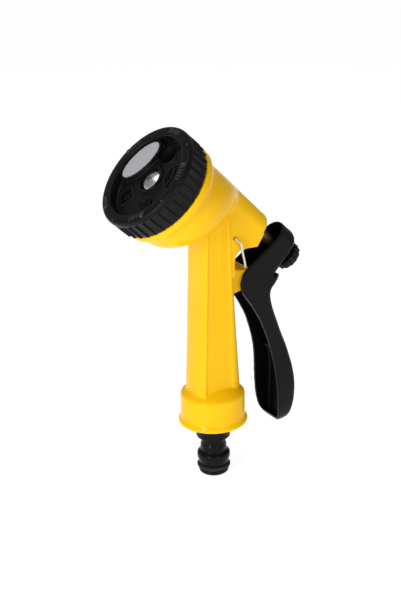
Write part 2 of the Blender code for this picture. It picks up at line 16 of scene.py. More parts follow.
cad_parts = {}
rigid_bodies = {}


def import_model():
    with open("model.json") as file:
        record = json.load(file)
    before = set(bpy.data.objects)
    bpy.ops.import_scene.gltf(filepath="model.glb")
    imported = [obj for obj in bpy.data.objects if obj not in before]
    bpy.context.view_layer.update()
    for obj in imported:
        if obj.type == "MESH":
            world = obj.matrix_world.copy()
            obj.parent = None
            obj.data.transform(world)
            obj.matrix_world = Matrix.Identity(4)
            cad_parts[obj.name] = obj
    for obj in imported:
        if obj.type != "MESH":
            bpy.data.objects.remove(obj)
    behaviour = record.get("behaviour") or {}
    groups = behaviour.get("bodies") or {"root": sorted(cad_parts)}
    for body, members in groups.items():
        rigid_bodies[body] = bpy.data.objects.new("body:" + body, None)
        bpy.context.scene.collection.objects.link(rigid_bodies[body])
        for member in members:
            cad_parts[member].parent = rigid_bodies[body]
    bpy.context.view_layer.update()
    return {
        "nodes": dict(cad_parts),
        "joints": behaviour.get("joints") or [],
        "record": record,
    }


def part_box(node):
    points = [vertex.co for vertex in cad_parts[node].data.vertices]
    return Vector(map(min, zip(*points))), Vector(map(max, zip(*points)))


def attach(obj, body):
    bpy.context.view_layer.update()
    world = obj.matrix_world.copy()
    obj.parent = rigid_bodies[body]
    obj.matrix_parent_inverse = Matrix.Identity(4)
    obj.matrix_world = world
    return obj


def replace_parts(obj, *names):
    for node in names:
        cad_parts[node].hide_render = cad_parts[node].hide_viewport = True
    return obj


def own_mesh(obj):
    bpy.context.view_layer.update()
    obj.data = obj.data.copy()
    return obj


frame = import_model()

# %% [markdown]
# Everything on the barrel is drawn around one tilted line, the dial's axis, and the valve's axis runs
# beside it. Both come from the joints, so a piece drawn in millimetres on that line lands where the
# solids are. In such a drawing x is across, y is up the dial's face and z is forward, out of the spray.

# %% Find the axes in the frame
MM = 0.001
joints = {joint["name"]: joint for joint in frame["joints"]}


def place_on(point, forward):
    """A drawing frame in metres: z forward, x across the object, scaled so that 1 is a millimetre."""
    z = Vector(forward).normalized()
    x = Vector((1.0, 0.0, 0.0))
    turn = Matrix((x, z.cross(x), z)).transposed().to_4x4()
    return Matrix.Translation(Vector(point)) @ turn @ Matrix.Scale(MM, 4)


WORLD = Matrix.Scale(MM, 4)
DIAL = place_on(joints["dial_turn"]["pos_m"], joints["dial_turn"]["axis"])
valve_point = DIAL.inverted() @ Vector(joints["knob_turn"]["pos_m"])
PORT_RADIUS = valve_point.y
VALVE = DIAL @ Matrix.Translation((0.0, PORT_RADIUS, 0.0))
pivot = Vector(joints["lever_pivot"]["pos_m"]) / MM
bail_pivot = Vector(joints["bail_swing"]["pos_m"]) / MM
print("valve axis above the dial's axis: %.1f mm" % PORT_RADIUS)

# %% [markdown]
# Every surface here is a mesh made from points in millimetres. The plainest way to get one is a *loft*:
# a row of rings with the same number of points, joined by four-sided faces and closed at both ends.
# A looped loft joins its last ring to its first, which makes a wall with a hole through it.

# %% Meshes from rings


def add_mesh(name, points, faces, place):
    """Make an object from points in a drawing frame, with its faces turned outwards."""
    mesh = bpy.data.meshes.new(name)
    mesh.from_pydata([place @ Vector(point) for point in points], [], faces)
    edit = bmesh.new()
    edit.from_mesh(mesh)
    bmesh.ops.recalc_face_normals(edit, faces=edit.faces)
    edit.to_mesh(mesh)
    edit.free()
    piece = bpy.data.objects.new(name, mesh)
    bpy.context.scene.collection.objects.link(piece)
    return piece


def smooth_shaded(piece, sharp=40.0):
    """Shade a piece smoothly, and keep the edges sharper than this many degrees."""
    piece.data.shade_smooth()
    piece.data.set_sharp_from_angle(angle=math.radians(sharp))
    return piece


def loft(name, rings, place=WORLD, looped=False):
    """Join rings of points by four-sided faces; a looped loft joins its last ring to its first."""
    count = len(rings[0])
    points = [point for ring in rings for point in ring]
    spans = len(rings) if looped else len(rings) - 1
    faces = []
    for row in range(spans):
        here, there = row * count, (row + 1) % len(rings) * count
        for k in range(count):
            after = (k + 1) % count
            faces.append((here + k, here + after, there + after, there + k))
    if not looped:
        faces += [tuple(range(count)), tuple(range(len(points) - count, len(points)))]
    return smooth_shaded(add_mesh(name, points, faces, place))


# %% [markdown]
# A *lathe* is a loft whose rings are circles, which suits everything that is turned: collar, screw and
# plug. Blocks and plates are two flat outlines joined straight across. A short curve at a corner of a
# profile stands for the radius that a tool leaves.

# %% Turned and flat shapes
MOST_OF_HALF = 0.45
NEARLY_NOTHING = 0.002


def circle(radius, along, count, centre=(0.0, 0.0)):
    """A ring of points round a centre, at one height along the axis."""
    turn = 2 * math.pi / count
    return [(centre[0] + radius * math.cos(turn * k), centre[1] + radius * math.sin(turn * k), along)
            for k in range(count)]


def rounded(profile, radius, steps=4, closed=False):
    """Replace each corner of an outline by a short curve that starts radius away from it."""
    out = []
    last = len(profile) - 1
    for k, corner in enumerate(profile):
        if not closed and k in (0, last):
            out.append(tuple(corner))
            continue
        here = Vector(corner)
        before, after = Vector(profile[k - 1]), Vector(profile[(k + 1) % len(profile)])
        reach_in = min(radius, MOST_OF_HALF * (before - here).length)
        reach_out = min(radius, MOST_OF_HALF * (after - here).length)
        start = here + (before - here).normalized() * reach_in
        end = here + (after - here).normalized() * reach_out
        for step in range(steps + 1):
            t = step / steps
            out.append(tuple(start * (1 - t) ** 2 + here * (2 * t * (1 - t)) + end * t * t))
    return out


def lathe(name, profile, place=WORLD, count=96, centre=(0.0, 0.0), fillet=0.0, looped=False):
    """Turn a (radius, height) profile; the ends of an open one close on the axis."""
    if fillet:
        profile = rounded(profile, fillet, closed=looped)
    rings = [circle(max(radius, NEARLY_NOTHING), height, count, centre) for radius, height in profile]
    return loft(name, rings, place, looped)


def behind(profile):
    """Depths behind the dial's rim, as heights in the dial's or the valve's drawing frame."""
    return [(radius, -depth) for radius, depth in profile]


def arc(centre, radius, start, end, steps):
    """Points along a part of a circle, from one angle to another in degrees."""
    angles = [math.radians(start + (end - start) * k / steps) for k in range(steps + 1)]
    return [(centre[0] + radius * math.cos(a), centre[1] + radius * math.sin(a)) for a in angles]


def plate(name, outline, half_width):
    """A block across the mirror plane, from its side view in (y, z); the width may change with y."""
    width = half_width if callable(half_width) else (lambda y: half_width)
    return loft(name, [[(side * width(y), y, z) for y, z in outline] for side in (-1, 1)])


def block(name, outline, front, back, place=DIAL):
    """A block on the dial, from its face view in (x, y) and two depths."""
    return loft(name, [[(x, y, -depth) for x, y in outline] for depth in (front, back)], place)


def rod(name, radius, front, back, place=DIAL, count=48, centre=(0.0, 0.0)):
    """A plain round bar between two depths."""
    profile = [(0, -front), (radius, -front), (radius, -back), (0, -back)]
    return lathe(name, profile, place, count, centre)


# %% [markdown]
# Two tools shape whole pieces. A Boolean carves one piece out of another. *Moulded* melts overlapping
# shapes into one skin with a voxel remesh and then relaxes it, which leaves the small fillets that a
# moulded or cast part has at every inner corner.

# %% Carving and melting


def settle(piece):
    """Turn the modifiers of a piece into plain mesh."""
    bpy.context.view_layer.update()
    shown = piece.evaluated_get(bpy.context.evaluated_depsgraph_get())
    mesh = bpy.data.meshes.new_from_object(shown)
    piece.modifiers.clear()
    piece.data = mesh
    return piece


def drop(piece):
    """Take a piece that has done its work out of the scene."""
    bpy.data.objects.remove(piece, do_unlink=True)


def carve(piece, *tools):
    """Cut every tool out of a piece, one after the other."""
    for tool in tools:
        cut = piece.modifiers.new("cut", "BOOLEAN")
        cut.operation = "DIFFERENCE"
        cut.solver = "EXACT"
        cut.object = tool
        settle(piece)
        drop(tool)
    return piece


def merged(name, *shapes):
    """Put overlapping shapes in one object; the remesh that follows melts them together."""
    edit = bmesh.new()
    for shape in shapes:
        edit.from_mesh(shape.data)
    mesh = bpy.data.meshes.new(name)
    edit.to_mesh(mesh)
    edit.free()
    for shape in shapes:
        drop(shape)
    piece = bpy.data.objects.new(name, mesh)
    bpy.context.scene.collection.objects.link(piece)
    return piece


def moulded(piece, voxel, rounds):
    """Remesh at voxel millimetres, then relax the skin a number of rounds."""
    skin = piece.modifiers.new("skin", "REMESH")
    skin.mode = "VOXEL"
    skin.voxel_size = voxel * MM
    skin.use_smooth_shade = True
    relax = piece.modifiers.new("relax", "SMOOTH")
    relax.factor = 0.5
    relax.iterations = rounds
    settle(piece)
    piece.data.shade_smooth()
    print("%s: %d faces" % (piece.name, len(piece.data.polygons)))
    return piece


# %% [markdown]
# ## Writing finishes as sums
#
# A finish is a network of nodes, which soon turns into a page of links. Here a socket is wrapped in a
# small class with Python's own operators, so that `0.2 + 0.1 * speckle` adds the Math nodes it needs.
# Only what really changes over a surface is linked. A number that is the same everywhere is typed into
# the shader itself.

# %% Sockets that can be added and multiplied


class Signal:
    """One output socket carrying a number, usable in a Python expression."""

    def __init__(self, finish, socket):
        self.finish = finish
        self.socket = socket

    def _maths(self, operation, first, second):
        return self.finish.node("Math", {"operation": operation}, {0: first, 1: second})

    def __add__(self, other):
        return self._maths("ADD", self, other)

    __radd__ = __add__

    def __sub__(self, other):
        return self._maths("SUBTRACT", self, other)

    def __rsub__(self, other):
        return self._maths("SUBTRACT", other, self)

    def __mul__(self, other):
        return self._maths("MULTIPLY", self, other)

    __rmul__ = __mul__


class Finish:
    """A material whose one shader is filled in by name."""

    def __init__(self, name, **constants):
        self.material = bpy.data.materials.new(name)
        self.material.use_nodes = True
        self.tree = self.material.node_tree
        self.shader = self.tree.nodes["Principled BSDF"]
        for label, value in constants.items():
            socket = self.shader.inputs[label.replace("_", " ").title().replace("Ior", "IOR")]
            socket.default_value = (*value, 1.0) if isinstance(value, tuple) else value
        self.spot = self.node("TexCoord", output="Object")

    def node(self, kind, settings=None, inputs=None, output=0):
        """Add one node; its settings come first, then values or links for its inputs."""
        made = self.tree.nodes.new("ShaderNode" + kind)
        for label, value in (settings or {}).items():
            setattr(made, label, value)
        for label, value in (inputs or {}).items():
            socket = made.inputs[label]
            if isinstance(value, Signal):
                self.tree.links.new(value.socket, socket)
            elif socket.type == "RGBA":
                socket.default_value = (*value, 1.0)
            else:
                socket.default_value = value
        return Signal(self, made.outputs[output])

    def speckle(self, size_mm, detail=2.0, roughness=0.5, stretch=None):
        """Cloudy noise from 0 to 1 whose blotches are about size_mm across."""
        where = self.spot
        if stretch:
            where = self.node("Mapping", {}, {"Vector": self.spot, "Scale": stretch})
        return self.node("TexNoise", {}, {"Vector": where, "Scale": 1.0 / (size_mm * MM),
                                          "Detail": detail, "Roughness": roughness}, "Fac")

    def band(self, signal, low, high):
        """0 below low, 1 above high, straight between."""
        limits = {"Value": signal, "From Min": low, "From Max": high}
        return self.node("MapRange", {"clamp": True}, limits)

    def mix(self, share, first, second):
        """A colour between two colours."""
        return self.node("Mix", {"data_type": "RGBA"}, {0: share, 6: first, 7: second}, 2)

    def set(self, label, signal):
        """Let a signal drive one input of the shader."""
        self.tree.links.new(signal.socket, self.shader.inputs[label])

    def bump(self, height, depth_mm):
        """Let a signal from 0 to 1 raise the skin by up to depth_mm."""
        heights = {"Height": height, "Distance": depth_mm * MM, "Strength": 1.0}
        self.set("Normal", self.node("Bump", {}, heights, "Normal"))


def wear(piece, finish):
    """Give a piece its finish."""
    piece.data.materials.clear()
    piece.data.materials.append(finish.material)
    return piece


# %% [markdown]
# ## The finishes
#
# **Yellow moulding.** The body is glossy: the colour is nearly even, a little deeper in cloudy patches,
# with a skin like very fine orange peel that breaks up the reflections, and faint handling smears that
# change only how sharp a highlight is.

# %% Yellow
yellow = Finish("yellow_moulding", specular_ior_level=0.07, coat_roughness=0.12)
clouds = yellow.speckle(22.0, 3.0)
peel = yellow.speckle(0.9, 2.0)
smears = yellow.band(yellow.speckle(9.0, 4.0, 0.6), 0.45, 0.75)
yellow.set("Base Color", yellow.mix(clouds, (0.93, 0.50, 0.002), (0.98, 0.565, 0.004)))
yellow.set("Roughness", 0.21 + 0.07 * smears)
yellow.set("Coat Weight", 0.16 - 0.08 * smears)
yellow.bump(peel, 0.012)
print("yellow: %d nodes" % len(yellow.tree.nodes))

# %% [markdown]
# **Black moulding.** Dial, lever, knob and plug are satin black plastic. The tool that shaped them was
# spark-eroded, so the skin has a fine even grain about half a millimetre across, and rubbed places
# are a little shinier than the rest. The raised marks on the rim have paler, duller tops.

# %% Black plastic


def black_plastic(name, shade, dull, shiny, grain_mm, grain_depth):
    """Satin black: shade is its lightness, dull and shiny the roughness of fresh and rubbed skin."""
    made = Finish(name, specular_ior_level=0.10)
    rubbed = made.band(made.speckle(7.0, 3.0, 0.6), 0.42, 0.72)
    grain = made.speckle(grain_mm, 2.0, 0.6)
    deep = (shade, shade, shade * 1.04)
    pale = (shade * 1.8, shade * 1.8, shade * 1.85)
    made.set("Base Color", made.mix(made.speckle(3.0, 3.0), deep, pale))
    made.set("Roughness", (dull - (dull - shiny) * rubbed) + 0.08 * grain)
    made.bump(grain, grain_depth)
    return made


dial_black = black_plastic("dial_black", 0.0042, 0.30, 0.22, 0.5, 0.012)
lever_black = black_plastic("lever_black", 0.0040, 0.30, 0.22, 0.6, 0.010)
plug_black = black_plastic("plug_black", 0.0035, 0.22, 0.15, 0.6, 0.006)
mark_black = black_plastic("mark_black", 0.060, 0.50, 0.40, 0.4, 0.010)
print("black plastic: %d nodes in each of four shades" % len(dial_black.tree.nodes))

# %% [markdown]
# **Rubber, steel and brass.** Rubber is matt with a trace of dust. The metals share one recipe, a fine
# noise that roughens the shine. On the drawn wire the noise is stretched, so its scratches run along
# it. The brass has been wet and has gone dark brown.

# %% Rubber, steel and brass
rubber = Finish("rubber", specular_ior_level=0.3)
dust = rubber.band(rubber.speckle(2.5, 4.0, 0.7), 0.5, 0.8)
rubber.set("Base Color", rubber.mix(dust, (0.012, 0.012, 0.012), (0.035, 0.034, 0.032)))
rubber.set("Roughness", 0.72 + 0.15 * dust)


SCRATCH_MM = 0.4
EVEN = (1.0, 1.0, 1.0)
DRAWN = (1.0, 1.0, 0.1)


def metal_finish(name, colour, rough, stretch):
    """Bare metal with fine scratches, stretched if they run one way."""
    made = Finish(name, metallic=1.0)
    scratches = made.speckle(SCRATCH_MM, 3.0, 0.7, stretch)
    darker = tuple(0.82 * part for part in colour)
    made.set("Base Color", made.mix(made.speckle(4.0), darker, colour))
    made.set("Roughness", rough + 0.14 * scratches)
    made.bump(scratches, 0.006)
    return made


screw_steel = metal_finish("screw_steel", (0.78, 0.77, 0.74), 0.16, EVEN)
wire_steel = metal_finish("wire_steel", (0.72, 0.71, 0.69), 0.20, DRAWN)
brass = metal_finish("brass", (0.22, 0.15, 0.06), 0.42, EVEN)
print("metals: %d nodes in each of three" % len(brass.tree.nodes))

# %% [markdown]
# **Shower screen.** The oval screen is stamped from thin sheet and blasted matt, so it looks pale grey
# rather than mirror-like. Its holes are real ones, made further down.

# %% Screen
screen_grey = Finish("screen_grey", metallic=0.35, specular_ior_level=0.5)
frost = screen_grey.speckle(0.5, 3.0, 0.7)
screen_grey.set("Base Color", screen_grey.mix(frost, (0.42, 0.43, 0.45), (0.52, 0.53, 0.55)))
screen_grey.set("Roughness", 0.48 + 0.15 * frost)
screen_grey.bump(frost, 0.02)
print("screen: %d nodes" % len(screen_grey.tree.nodes))

# %% [markdown]
# ## The yellow body
#
# The bell is a skewed bowl: its top edge runs straight back into the valve housing, and its underside
# is nearly a quarter of an ellipse that ends in a fillet. So each section is a circle that fits
# between a low and a high point. The grip column is a loft with flat sides, a shallow front strip and
# a fuller back. Collar, gusset and lug are drawn beside them, and the remesh melts all five into one.

# %% Bell and housing
BOWL_START, BOWL_LENGTH, BOWL_DROP = 22.0, 20.5, 29.4
BOWL_POWER = 0.55
BOWL_TOP, TOP_SLOPE = 23.5, 0.012
FILLET_START, FILLET_END = 38.5, 46.5
HOUSING_LOW, HOUSING_REAR = 6.0, 70.2
REAR_ROUND, REAR_RADIUS = 2.8, 5.15
FLANGE_RADIUS = 25.9


def bowl_low(depth):
    """The underside: nearly an ellipse, then a fillet that runs out into the housing."""
    far = min(depth, FILLET_START) - BOWL_START
    flat = 1.0 - (far / BOWL_LENGTH) ** 2
    low = HOUSING_LOW - BOWL_DROP * flat ** BOWL_POWER
    if depth <= FILLET_START:
        return low
    span = FILLET_END - FILLET_START
    slope = BOWL_DROP * BOWL_POWER * 2.0 * far / BOWL_LENGTH ** 2 / flat ** (1.0 - BOWL_POWER)
    t = min(1.0, (depth - FILLET_START) / span)
    return low + slope * span * t * (1 - t) ** 2 + (HOUSING_LOW - low) * t * t * (3 - 2 * t)


def bell_sections(steps=30):
    """(depth, height of the centre, radius) from the flange behind the dial to the housing's rear."""
    flange = [(13.4, FLANGE_RADIUS - 0.6), (13.8, FLANGE_RADIUS), (16.8, FLANGE_RADIUS),
              (17.3, FLANGE_RADIUS - 0.5), (17.7, 24.7), (18.4, 24.2), (20.0, 23.7)]
    sections = [(depth, 0.2, radius) for depth, radius in flange]
    for k in range(steps + 1):
        depth = BOWL_START + (FILLET_END - BOWL_START) * (k / steps)
        low, high = bowl_low(depth), BOWL_TOP - TOP_SLOPE * (depth - BOWL_START)
        sections.append((depth, 0.5 * (low + high), 0.5 * (high - low)))
    rear = [(50.0, 8.4), (58.0, 8.2), (64.0, 8.0), (HOUSING_REAR - REAR_ROUND, 7.95)]
    sections += [(depth, PORT_RADIUS, radius) for depth, radius in rear]
    for k in range(1, 6):
        angle = 0.5 * math.pi * k / 5
        depth = HOUSING_REAR - REAR_ROUND + REAR_ROUND * math.sin(angle)
        sections.append((depth, PORT_RADIUS, REAR_RADIUS + REAR_ROUND * math.cos(angle)))
    return sections


COLUMN_TOP, COLUMN_HEIGHT = 122.0, 77.0
STRIP_HALF, FLAT_HALF, STRIP_STEP = 8.95, 8.45, 0.7


def column_section(z, steps=14):
    """The grip's outline at one height: strips front and back stand a little proud of the flat sides."""
    down = (COLUMN_TOP - z) / COLUMN_HEIGHT
    front, front_bulge = -6.6 - 2.6 * down, 1.2 + 2.2 * down
    back, back_bulge = 5.6 + 1.3 * down, 3.0 + 4.6 * down
    turn = [math.pi * k / steps for k in range(steps + 1)]
    outline = [(STRIP_HALF * math.cos(a), back + back_bulge * math.sin(a)) for a in turn]
    outline += [(-FLAT_HALF, back - STRIP_STEP), (-FLAT_HALF, front + STRIP_STEP)]
    outline += [(-STRIP_HALF * math.cos(a), front - front_bulge * math.sin(a)) for a in turn]
    outline += [(FLAT_HALF, front + STRIP_STEP), (FLAT_HALF, back - STRIP_STEP)]
    return [(x, y, z) for x, y in outline]


sections = bell_sections()
bell = loft("bell", [circle(r, -depth, 160, (0.0, height)) for depth, height, r in sections], DIAL)
column = loft("column", [column_section(36.0 + 3.5 * k) for k in range(31)])
print("bell: %d sections, from %.1f to %.1f mm" % (len(sections), sections[0][0], sections[-1][0]))

# %% [markdown]
# The collar is turned, with a soft shoulder and a thin flared lip at its foot. The gusset under the
# housing meets the column in a tight curve, and narrows as the housing does.

# %% Collar, gusset and lug
collar_profile = [(0, 29.1), (17.45, 29.1), (17.45, 30.7), (16.6, 31.6), (16.15, 32.8), (16.1, 44.6),
                  (14.9, 45.6), (10.4, 48.0), (6.5, 49.1), (0, 49.6)]
collar = lathe("collar", rounded(collar_profile, 0.7), WORLD, 160)
side_view = [(0.0, 106.0), (8.9, 106.0)] + arc((14.2, 113.8), 5.0, 180, 92, 10)
side_view += [(22.6, 118.2), (26.6, 124.0), (5.2, 144.0), (0.0, 144.0)]
gusset = plate("gusset", side_view, lambda y: 8.55 - 0.04 * (y - 5.0))
LUG_RADIUS, LUG_HALF = 4.8, 5.3
nose = arc((pivot.y, pivot.z), LUG_RADIUS, -100, 78, 16)
lug = plate("lug", [(3.0, 94.4), (14.3, 96.7)] + nose + [(3.0, 109.7)], LUG_HALF)
body = moulded(merged("moulded_body", bell, column, collar, gusset, lug), 0.42, 6)

# %% [markdown]
# The hollows are cut after the skin is relaxed, so their edges stay crisp: the bell's inside, the port
# and valve bores, the waterway, the collar's socket, and the small holes for the pin and the bail.

# %% Hollows
BELL_WALL = 2.6
HOOK_DEPTH = 3.6
inner = [(depth, height, r - BELL_WALL) for depth, height, r in sections if 14.0 < depth < 28.0]
cavity = [circle(23.0, -9.0, 64)] + [circle(r, -depth, 64, (0.0, height)) for depth, height, r in inner]
tools = [loft("cavity", cavity, DIAL)]
tools.append(rod("valve_bore", 6.2, 26.0, 80.0, VALVE))
tools.append(rod("port_bore", 3.4, 20.0, 27.0, VALVE))
tools.append(lathe("waterway", [(0, 39), (5, 39), (5, 146), (0, 146)], WORLD, 48))
tools.append(lathe("socket", [(0, 20), (13.5, 20), (13.5, 41.3), (0, 41.3)], WORLD, 96))
tools.append(plate("pin_hole", arc((pivot.y, pivot.z), 1.75, 0, 350, 35), 12.0))
for side in (-1, 1):
    hole = [(side * 10.2 - HOOK_DEPTH * (side > 0), y, z) for y, z in arc(bail_pivot.yz, 0.9, 0, 342, 19)]
    tools.append(loft("bail_hole", [hole, [(x + HOOK_DEPTH, y, z) for x, y, z in hole]]))
carve(body, *tools)
print("hollows cut in the body: %d" % len(tools))

# %% [markdown]
# Two tubes stand inside the bell: the port tube, which leads the water from the valve to the dial, and
# the spigot that the dial turns on. They are looped lathes, so their bores are open from the start.

# %% Tubes inside the bell
port_profile = behind([(5.3, 12.8), (7.6, 12.8), (7.6, 31.0), (5.3, 31.0)])
spigot_profile = behind([(1.8, 6.0), (3.9, 6.0), (3.9, 13.4), (5.6, 13.4), (5.6, 31.0), (1.8, 31.0)])
port_tube = lathe("port_tube", port_profile, VALVE, 64, looped=True)
spigot = lathe("spigot", spigot_profile, DIAL, 64, looped=True)
for piece in (body, port_tube, spigot):
    wear(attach(piece, "casting"), yellow)
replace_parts(body, "body_shell")
print("body: %d faces" % len(body.data.polygons))

# %% [markdown]
# ## The dial
#
# The dial is one black moulding: a ring with a smooth band in front and a ribbed grip behind, and a
# sunken face with five outlets. The ring needs exact ribs, so it is a loft whose radius changes with
# the angle. Between two narrow ridges lies a shallow flat pocket, open towards the back.

# %% Grip ring
DIAL_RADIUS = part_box("dial_housing")[1].x / MM
DIAL_DEPTH = 12.9
FACE_DEPTH = 4.8
RIM_INNER = 21.2
RIBS = 36
POCKET = 0.7
RIDGE_HALF = 0.5


def grip_angles():
    """Angles round the ring, close together on each ridge, with how deep the pocket is there."""
    pitch = 360.0 / RIBS
    steps = [(-0.5, 1.0), (-0.3, 1.0), (-0.17, 1.0)]
    for t in (-1.0, -0.6, -0.3, 0.0, 0.3, 0.6, 1.0):
        steps.append((t * RIDGE_HALF / pitch * 1.9, min(1.0, abs(t)) ** 2))
    steps += [(0.17, 1.0), (0.3, 1.0)]
    return [(math.radians(pitch * (rib + step)), depth) for rib in range(RIBS) for step, depth in steps]


def grip_row(radius, depth, share):
    """One ring of the dial's edge; share says how much of the pockets shows at this depth."""
    row = []
    for a, pocket in grip_angles():
        reach = radius - POCKET * share * pocket
        row.append((reach * math.cos(a), reach * math.sin(a), -depth))
    return row


rim = [(20.9, 5.8), (21.0, 3.0), (RIM_INNER, 0.7), (21.35, 0.3), (21.7, 0.05), (22.4, 0.0), (25.2, 0.0),
       (25.7, 0.15), (26.12, 0.48), (26.4, 1.0), (DIAL_RADIUS, 1.6), (DIAL_RADIUS, 2.7)]
grip = [(DIAL_RADIUS, 2.9, 0.25), (DIAL_RADIUS, 3.15, 0.8), (DIAL_RADIUS, 3.4, 1.0),
        (DIAL_RADIUS, 12.0, 1.0), (DIAL_RADIUS - 0.15, 12.5, 1.0), (DIAL_RADIUS - 0.6, DIAL_DEPTH, 0.5)]
inside = [(24.9, DIAL_DEPTH), (24.6, 12.6), (24.6, 9.3), (20.9, 9.2)]
rows = [grip_row(r, d, 0.0) for r, d in rim] + [grip_row(*row) for row in grip]
rows += [grip_row(r, d, 0.0) for r, d in inside]
grip_ring = loft("dial_grip_ring", rows, DIAL, looped=True)
print("dial: %.1f mm across, %d ribs" % (2 * DIAL_RADIUS, RIBS))

# %% [markdown]
# The face is moulded in one with its outlets. Each outlet stands at its own angle round the dial: the
# open hole on top, then clockwise the fan, the jet, the mist and the shower. The low rings round the
# screw and the rim of every boss are part of the same skin, so they go into the remesh with it.

# %% Where the outlets stand
FULL, FAN, JET, MIST = (math.radians(90.0 - 72.0 * k) for k in range(4))
screen_low, screen_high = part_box("shower_screen")
screen_middle = DIAL.inverted() @ (0.5 * (screen_low + screen_high))
SCREEN_LONG, SCREEN_WIDE = 11.4, 6.2


def outlet(angle):
    """Where an outlet stands when it is this far round the dial."""
    return PORT_RADIUS * math.cos(angle), PORT_RADIUS * math.sin(angle)


def oval(middle, half_length, half_width, count=64, power=2.0):
    """A rounded outline whose long side lies across the dial's radius."""
    turn = math.atan2(middle[1], middle[0])
    outline = []
    for k in range(count):
        c = math.cos(2 * math.pi * k / count)
        s = math.sin(2 * math.pi * k / count)
        across = half_width * math.copysign(abs(c) ** (2 / power), c)
        along = half_length * math.copysign(abs(s) ** (2 / power), s)
        outline.append((middle[0] + across * math.cos(turn) - along * math.sin(turn),
                        middle[1] + across * math.sin(turn) + along * math.cos(turn)))
    return outline


screen_reach = math.hypot(screen_middle.x, screen_middle.y)
print("outlets %.1f mm and screen %.1f mm from the dial's axis" % (PORT_RADIUS, screen_reach))

# %% [markdown]
# The face is a stack of overlapping discs, rings and ovals, each standing at its own height in front of
# a common back, and the remesh melts them together. The openings are carved afterwards, so that their
# edges stay crisp.

# %% Sunken face
FACE_EDGE, FACE_BACK, BOSS_BACK = 21.3, 9.2, 6.5
LOW_RING_FRONT, LOW_RING_BACK, LOW_RING_HALF = 4.55, 5.4, 0.22


def screen_oval(extra):
    """The screen's outline, made larger all round by extra."""
    return oval(screen_middle, SCREEN_LONG + extra, SCREEN_WIDE + extra)


disc = behind([(0, FACE_DEPTH), (FACE_EDGE, FACE_DEPTH), (FACE_EDGE, FACE_BACK), (0, FACE_BACK)])
foot = behind([(19.9, 5.6), (FACE_EDGE, 3.6), (FACE_EDGE, 5.6)])
hub = rounded(behind([(0, 3.5), (7.3, 3.5), (7.7, BOSS_BACK), (0, BOSS_BACK)]), 0.3)
face = [lathe("face_disc", disc, DIAL, 96)]
face.append(lathe("face_foot", foot, DIAL, 96, looped=True))
face.append(lathe("hub", hub, DIAL, 64))
for radius in (8.7, 9.7, 10.7):
    low, high = radius - LOW_RING_HALF, radius + LOW_RING_HALF
    ring = [(low, LOW_RING_BACK), (low, LOW_RING_FRONT), (high, LOW_RING_FRONT), (high, LOW_RING_BACK)]
    face.append(lathe("low_ring", behind(ring), DIAL, 96, looped=True))
for extra, front in ((1.9, 3.3), (1.2, 1.5)):
    face.append(block("shower_step", screen_oval(extra), front, BOSS_BACK))
face.append(block("fan_boss", oval(outlet(FAN), 7.0, 3.9), 3.6, BOSS_BACK))
face.append(block("fan_lens", oval(outlet(FAN), 5.6, 2.7), 2.3, BOSS_BACK))
face.append(rod("jet_boss", 3.6, 3.4, BOSS_BACK, centre=outlet(JET)))
face.append(rod("jet_collar", 2.9, 2.5, BOSS_BACK, centre=outlet(JET)))
face.append(block("mist_frame", oval(outlet(MIST), 4.6, 4.6, power=6.0), 4.1, BOSS_BACK))
face.append(rod("full_collar", 6.3, 4.2, BOSS_BACK, centre=outlet(FULL)))
dial_face = moulded(merged("dial_face", *face), 0.24, 3)

# %% Hollows of the face
THROUGH = 10.0
hollows = [rod("screw_well", 6.0, 0.0, 6.4)]
hollows.append(rod("screw_bore", 4.3, 0.0, THROUGH))
hollows.append(rod("full_hole", 5.5, 0.0, THROUGH, centre=outlet(FULL)))
hollows.append(rod("jet_hole", 2.4, 0.0, THROUGH, centre=outlet(JET)))
hollows.append(block("screen_seat", screen_oval(0.3), 0.0, 3.0))
hollows.append(block("screen_room", screen_oval(-1.2), 1.0, THROUGH))
hollows.append(block("fan_hole", oval(outlet(FAN), 4.4, 1.7), 0.0, THROUGH))
hollows.append(block("mist_hole", oval(outlet(MIST), 3.2, 3.2, power=6.0), 0.0, THROUGH))
carve(dial_face, *hollows)
print("hollows cut in the face: %d" % len(hollows))

# %% [markdown]
# The band round the rim carries raised marks that say what each outlet does. Plain figures, each with
# five dashes for the spray, do this here. Every stroke is a low strip that is sunk a little into the
# flat band, so that no gap shows under it.

# %% Raised marks on the rim
MARK_RISE, MARK_ROOT = 0.16, 0.3
FIGURE_STROKE, DASH_STROKE, DOT_STROKE = 0.34, 0.26, 0.5
FIGURE_WIDE, FIGURE_HIGH, FIGURE_LEFT, FIGURE_FOOT = 1.1, 1.15, -4.6, 22.8
DASH_LEFT, DASH_PITCH, DASH_LEAN, DASH_FOOT, DASH_HEAD = -2.2, 1.35, 0.35, 22.9, 24.9
SEGMENTS = {"1": "bc", "2": "abged", "3": "abgcd", "4": "fgbc", "5": "afgcd"}
STROKES = {"a": ((0, 2), (1, 2)), "b": ((1, 2), (1, 1)), "c": ((1, 1), (1, 0)), "d": ((0, 0), (1, 0)),
           "e": ((0, 0), (0, 1)), "f": ((0, 1), (0, 2)), "g": ((0, 1), (1, 1))}


def rim_stroke(start, end, middle_angle, width):
    """A low bar on the rim between two points given as (across, outwards) in millimetres."""
    (x0, y0), (x1, y1) = start, end
    along = Vector((x1 - x0, y1 - y0)).normalized()
    side = Vector((-along.y, along.x)) * width / 2
    ends = [Vector((x0, y0)) - along * width / 2, Vector((x1, y1)) + along * width / 2]
    corners = [ends[0] + side, ends[1] + side, ends[1] - side, ends[0] - side]
    turn = middle_angle - math.pi / 2
    flat = []
    for c in corners:
        across = c.x * math.cos(turn) - c.y * math.sin(turn)
        flat.append((across, c.x * math.sin(turn) + c.y * math.cos(turn)))
    return block("stroke", flat, -MARK_RISE, MARK_ROOT)


